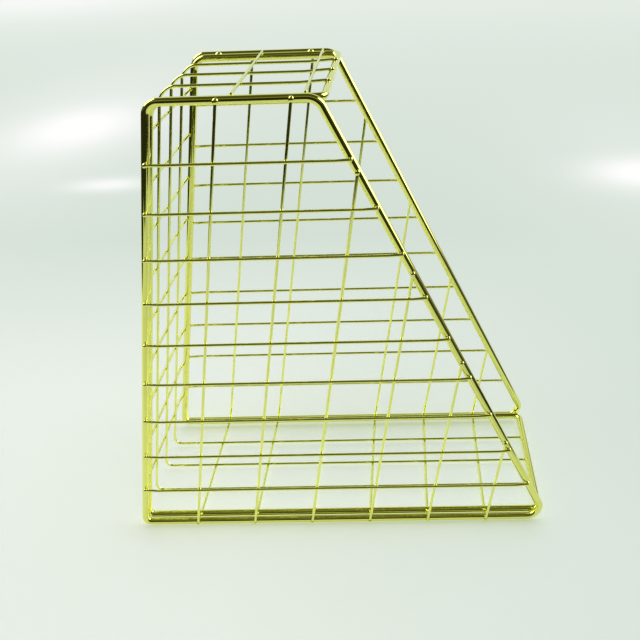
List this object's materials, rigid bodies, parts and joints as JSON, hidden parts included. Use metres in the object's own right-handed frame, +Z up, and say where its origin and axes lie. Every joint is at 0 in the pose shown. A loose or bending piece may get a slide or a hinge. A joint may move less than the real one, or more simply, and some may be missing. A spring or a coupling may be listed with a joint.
{
  "type": "wire magazine file",
  "caption": "Upright desk file of polished gold-coloured welded wire: two mesh side panels with slanted front edges, joined by a bent mesh body that closes the top, spine and base.",
  "frame": {"origin": "on the table, under the middle of the file's bounding box", "axes": "+X points out of the open slanted front, +Y from the near side panel to the far one, +Z up; the spine is at -X"},
  "size_m": [0.2978, 0.1394, 0.3161],
  "materials": {
    "frame_wire": "bright polished plating in pale yellow gold on thick steel wire",
    "mesh_wire": "bright polished plating in pale yellow gold on thin steel wire"
  },
  "bodies": {
    "root": {"near_frame": "frame_wire", "near_upright_1": "mesh_wire", "near_upright_2": "mesh_wire", "near_upright_3": "mesh_wire", "near_upright_4": "mesh_wire", "near_upright_5": "mesh_wire", "near_upright_6": "mesh_wire", "near_level_wire_1": "mesh_wire", "near_level_wire_2": "mesh_wire", "near_level_wire_3": "mesh_wire", "near_level_wire_4": "mesh_wire", "near_level_wire_5": "mesh_wire", "near_level_wire_6": "mesh_wire", "near_level_wire_7": "mesh_wire", "near_level_wire_8": "mesh_wire", "near_level_wire_9": "mesh_wire", "far_frame": "frame_wire", "far_upright_1": "mesh_wire", "far_upright_2": "mesh_wire", "far_upright_3": "mesh_wire", "far_upright_4": "mesh_wire", "far_upright_5": "mesh_wire", "far_upright_6": "mesh_wire", "far_level_wire_1": "mesh_wire", "far_level_wire_2": "mesh_wire", "far_level_wire_3": "mesh_wire", "far_level_wire_4": "mesh_wire", "far_level_wire_5": "mesh_wire", "far_level_wire_6": "mesh_wire", "far_level_wire_7": "mesh_wire", "far_level_wire_8": "mesh_wire", "far_level_wire_9": "mesh_wire", "body_frame": "frame_wire", "lengthwise_wire_1": "mesh_wire", "lengthwise_wire_2": "mesh_wire", "lengthwise_wire_3": "mesh_wire", "top_cross_wire_1": "mesh_wire", "top_cross_wire_2": "mesh_wire", "spine_cross_wire_1": "mesh_wire", "spine_cross_wire_2": "mesh_wire", "spine_cross_wire_3": "mesh_wire", "spine_cross_wire_4": "mesh_wire", "spine_cross_wire_5": "mesh_wire", "spine_cross_wire_6": "mesh_wire", "spine_cross_wire_7": "mesh_wire", "spine_cross_wire_8": "mesh_wire", "spine_cross_wire_9": "mesh_wire", "base_cross_wire_1": "mesh_wire", "base_cross_wire_2": "mesh_wire", "base_cross_wire_3": "mesh_wire", "base_cross_wire_4": "mesh_wire", "base_cross_wire_5": "mesh_wire", "base_cross_wire_6": "mesh_wire"}
  },
  "joints": []
}
